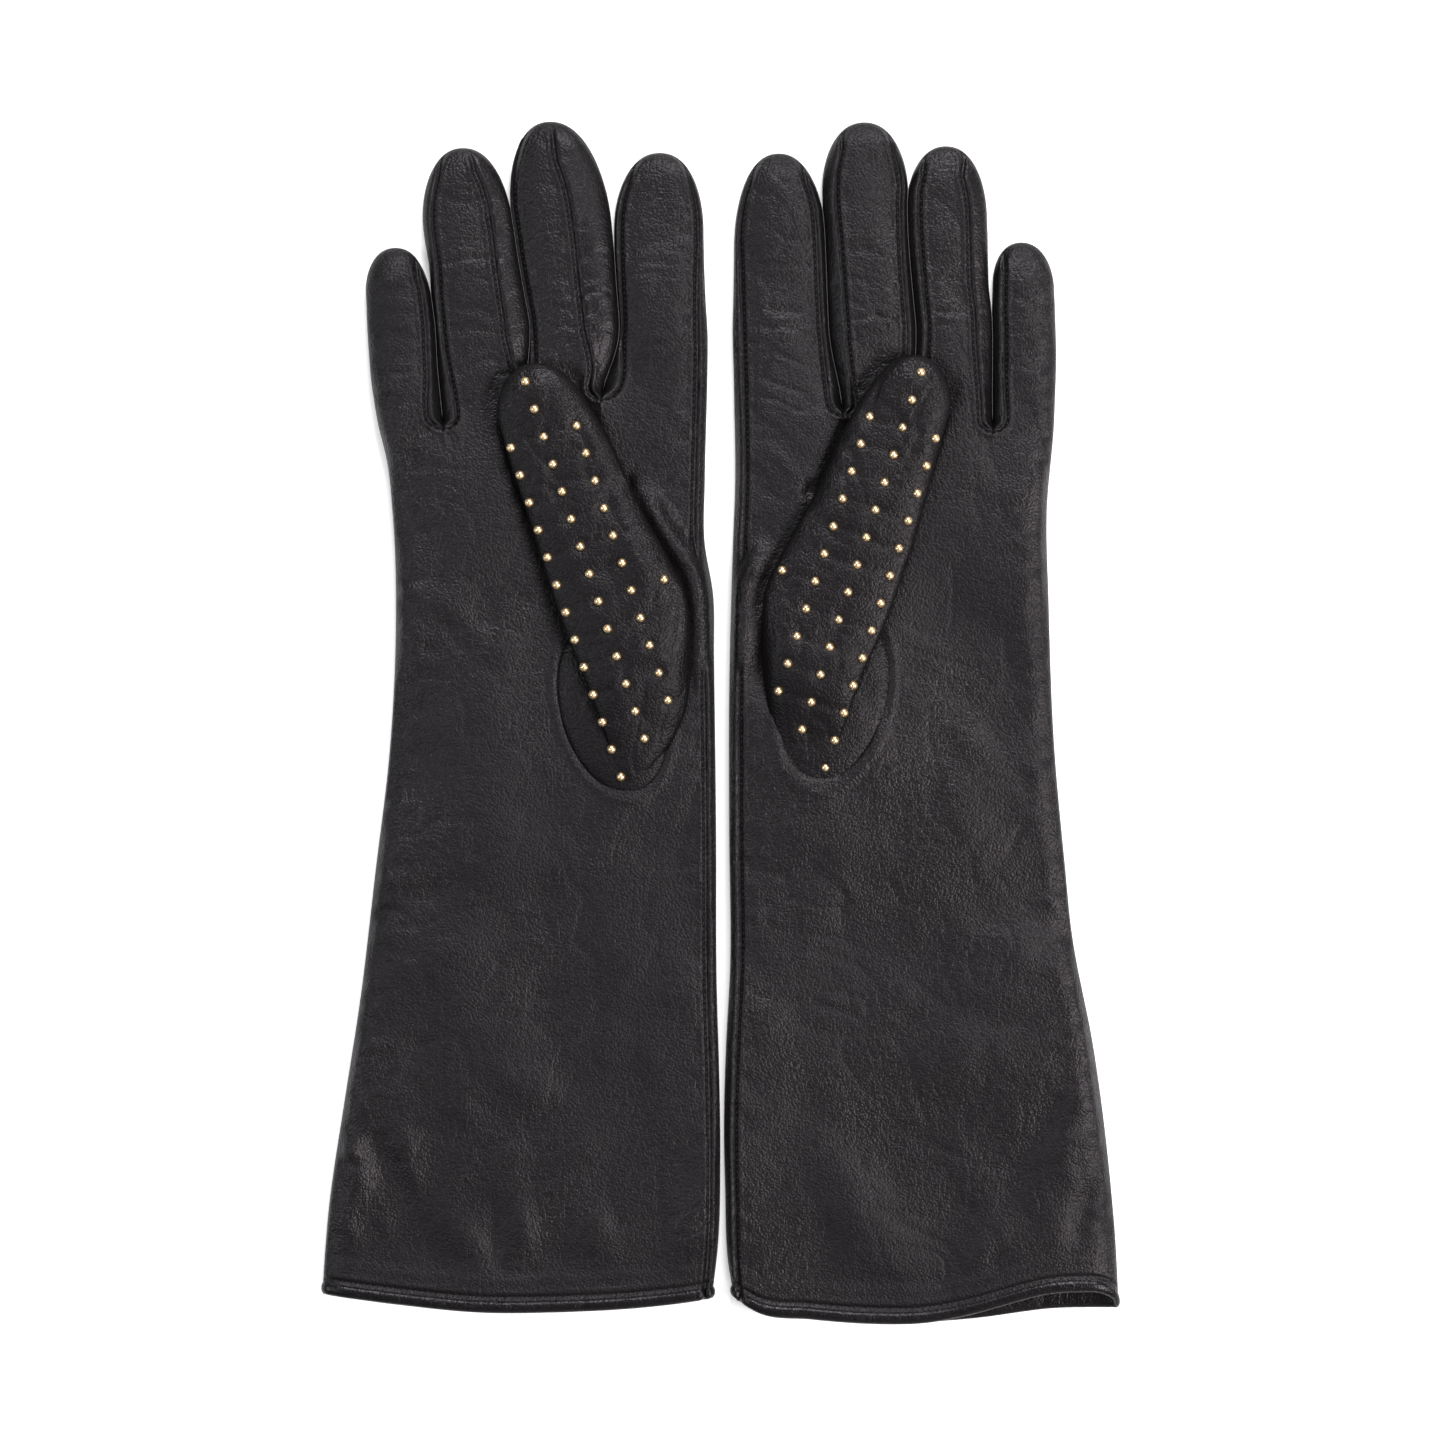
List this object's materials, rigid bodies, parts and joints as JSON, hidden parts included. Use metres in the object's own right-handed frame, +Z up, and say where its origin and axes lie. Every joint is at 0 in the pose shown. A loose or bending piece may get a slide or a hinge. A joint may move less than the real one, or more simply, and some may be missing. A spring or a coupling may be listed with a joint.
{
  "type": "opera gloves",
  "caption": "Pair of long black leather gloves laid flat, palms up, with side strips between the fingers, a bound hem and metal studs on each thumb.",
  "frame": {"origin": "centre of the pair's footprint, on the surface they lie on", "axes": "+X to the left-hand glove, +Y to the fingertips, +Z up out of the palms"},
  "size_m": [0.2262, 0.3428, 0.0175],
  "materials": {
    "palm_leather": "soft semi-matte grain",
    "back_leather": "soft semi-matte grain",
    "side_leather": "soft semi-matte grain",
    "thumb_leather": "soft semi-matte grain",
    "binding_leather": "rolled and pressed",
    "lining_cloth": "smooth woven",
    "thread": "twisted thread",
    "stud_brass": "polished"
  },
  "bodies": {
    "right_hand": {"right_palm_panel": "palm_leather", "right_back_panel": "back_leather", "right_index_middle_fourchette": "side_leather", "right_middle_ring_fourchette": "side_leather", "right_ring_little_fourchette": "side_leather", "right_hand_lining": "lining_cloth", "right_thumb_root": "thumb_leather", "right_root_studs": "stud_brass"},
    "right_sleeve": {"right_sleeve_front": "palm_leather", "right_sleeve_back": "back_leather", "right_sleeve_lining": "lining_cloth", "right_hem_binding": "binding_leather", "right_hem_stitches": "thread"},
    "right_thumb": {"right_thumb_outer": "thumb_leather", "right_thumb_inner": "thumb_leather", "right_thumb_studs": "stud_brass", "right_stud_backs": "stud_brass"},
    "right_index": {"right_index_front": "palm_leather", "right_index_back": "back_leather", "right_index_fourchette": "side_leather"},
    "right_middle": {"right_middle_front": "palm_leather", "right_middle_back": "back_leather", "right_middle_fourchette": "side_leather"},
    "right_ring": {"right_ring_front": "palm_leather", "right_ring_back": "back_leather", "right_ring_fourchette": "side_leather"},
    "right_little": {"right_little_front": "palm_leather", "right_little_back": "back_leather", "right_little_fourchette": "side_leather"},
    "left_hand": {"left_palm_panel": "palm_leather", "left_back_panel": "back_leather", "left_index_middle_fourchette": "side_leather", "left_middle_ring_fourchette": "side_leather", "left_ring_little_fourchette": "side_leather", "left_hand_lining": "lining_cloth", "left_thumb_root": "thumb_leather", "left_root_studs": "stud_brass"},
    "left_sleeve": {"left_sleeve_front": "palm_leather", "left_sleeve_back": "back_leather", "left_sleeve_lining": "lining_cloth", "left_hem_binding": "binding_leather", "left_hem_stitches": "thread"},
    "left_thumb": {"left_thumb_outer": "thumb_leather", "left_thumb_inner": "thumb_leather", "left_thumb_studs": "stud_brass", "left_stud_backs": "stud_brass"},
    "left_index": {"left_index_front": "palm_leather", "left_index_back": "back_leather", "left_index_fourchette": "side_leather"},
    "left_middle": {"left_middle_front": "palm_leather", "left_middle_back": "back_leather", "left_middle_fourchette": "side_leather"},
    "left_ring": {"left_ring_front": "palm_leather", "left_ring_back": "back_leather", "left_ring_fourchette": "side_leather"},
    "left_little": {"left_little_front": "palm_leather", "left_little_back": "back_leather", "left_little_fourchette": "side_leather"}
  },
  "joints": [
    {"name": "right_wrist_fold", "type": "hinge", "parent": "right_hand", "child": "right_sleeve", "pos_m": [-0.05, -0.0402, 0.0085], "axis": [-1, 0, 0], "range_deg": [0, 90]},
    {"name": "right_index_bend", "type": "hinge", "parent": "right_hand", "child": "right_index", "pos_m": [-0.0162, 0.1102, 0.0085], "axis": [0.9998, 0.0194, 0], "range_deg": [0, 90]},
    {"name": "right_middle_bend", "type": "hinge", "parent": "right_hand", "child": "right_middle", "pos_m": [-0.04112, 0.1142, 0.0085], "axis": [0.993, 0.1178, 0], "range_deg": [0, 90]},
    {"name": "right_ring_bend", "type": "hinge", "parent": "right_hand", "child": "right_ring", "pos_m": [-0.06683, 0.1132, 0.0085], "axis": [0.9918, 0.1277, 0], "range_deg": [0, 90]},
    {"name": "right_little_bend", "type": "hinge", "parent": "right_hand", "child": "right_little", "pos_m": [-0.09061, 0.1012, 0.0085], "axis": [0.9974, 0.0715, 0], "range_deg": [0, 90]},
    {"name": "right_thumb_lift", "type": "hinge", "parent": "right_hand", "child": "right_thumb", "pos_m": [-0.0188, 0.00803, 0.0168], "axis": [0.9361, 0.3518, 0], "range_deg": [0, 90]},
    {"name": "left_wrist_fold", "type": "hinge", "parent": "left_hand", "child": "left_sleeve", "pos_m": [0.05, -0.0402, 0.0085], "axis": [-1, 0, 0], "range_deg": [0, 90]},
    {"name": "left_index_bend", "type": "hinge", "parent": "left_hand", "child": "left_index", "pos_m": [0.017, 0.1102, 0.0085], "axis": [1, 0.0038, 0], "range_deg": [0, 90]},
    {"name": "left_middle_bend", "type": "hinge", "parent": "left_hand", "child": "left_middle", "pos_m": [0.04339, 0.1142, 0.0085], "axis": [0.9993, 0.0368, 0], "range_deg": [0, 90]},
    {"name": "left_ring_bend", "type": "hinge", "parent": "left_hand", "child": "left_ring", "pos_m": [0.06679, 0.1132, 0.0085], "axis": [0.999, 0.0451, 0], "range_deg": [0, 90]},
    {"name": "left_little_bend", "type": "hinge", "parent": "left_hand", "child": "left_little", "pos_m": [0.08759, 0.1012, 0.0085], "axis": [0.999, 0.045, 0], "range_deg": [0, 90]},
    {"name": "left_thumb_lift", "type": "hinge", "parent": "left_hand", "child": "left_thumb", "pos_m": [0.0205, 0.01063, 0.0168], "axis": [0.9361, -0.3518, 0], "range_deg": [0, 90]},
    {"name": "left_glove_apart", "type": "slide", "parent": "right_hand", "child": "left_hand", "axis": [1, 0, 0], "range_m": [0, 0.25]}
  ]
}
